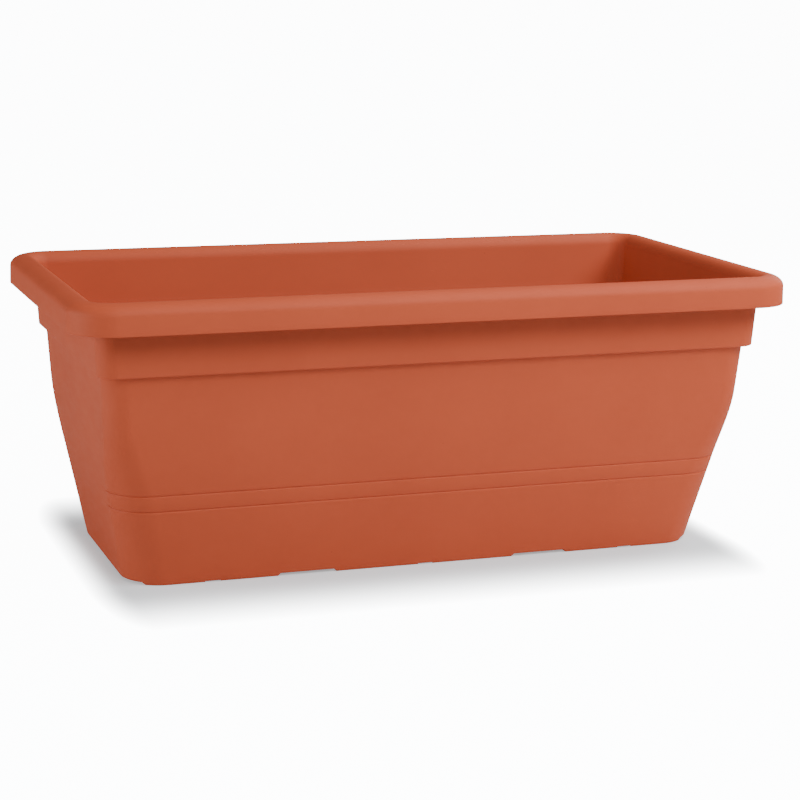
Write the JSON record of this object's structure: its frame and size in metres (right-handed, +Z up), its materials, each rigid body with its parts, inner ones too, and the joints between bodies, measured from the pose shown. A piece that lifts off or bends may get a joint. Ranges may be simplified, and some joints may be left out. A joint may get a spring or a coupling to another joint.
{
  "type": "footed planter",
  "caption": "Rectangular tapered planter with a rolled rim and collar band, on low moulded feet, with push-in drain plugs in a raised floor panel.",
  "frame": {"origin": "centre of the footprint, on the ground that the feet stand on", "axes": "+X along the length, +Y towards the back long wall, +Z up"},
  "size_m": [0.8, 0.43, 0.315],
  "materials": {
    "shell": "satin moulded",
    "plug": "satin moulded"
  },
  "bodies": {
    "tub": {"tub": "shell"},
    "drain_plug_front_left": {"drain_plug_front_left": "plug"},
    "drain_plug_front_middle": {"drain_plug_front_middle": "plug"},
    "drain_plug_front_right": {"drain_plug_front_right": "plug"},
    "drain_plug_back_left": {"drain_plug_back_left": "plug"},
    "drain_plug_back_middle": {"drain_plug_back_middle": "plug"},
    "drain_plug_back_right": {"drain_plug_back_right": "plug"}
  },
  "joints": [
    {"name": "drain_plug_front_left_pull", "type": "slide", "parent": "tub", "child": "drain_plug_front_left", "axis": [0, 0, 1], "range_m": [0, 0.34]},
    {"name": "drain_plug_front_middle_pull", "type": "slide", "parent": "tub", "child": "drain_plug_front_middle", "axis": [0, 0, 1], "range_m": [0, 0.34]},
    {"name": "drain_plug_front_right_pull", "type": "slide", "parent": "tub", "child": "drain_plug_front_right", "axis": [0, 0, 1], "range_m": [0, 0.34]},
    {"name": "drain_plug_back_left_pull", "type": "slide", "parent": "tub", "child": "drain_plug_back_left", "axis": [0, 0, 1], "range_m": [0, 0.34]},
    {"name": "drain_plug_back_middle_pull", "type": "slide", "parent": "tub", "child": "drain_plug_back_middle", "axis": [0, 0, 1], "range_m": [0, 0.34]},
    {"name": "drain_plug_back_right_pull", "type": "slide", "parent": "tub", "child": "drain_plug_back_right", "axis": [0, 0, 1], "range_m": [0, 0.34]}
  ]
}
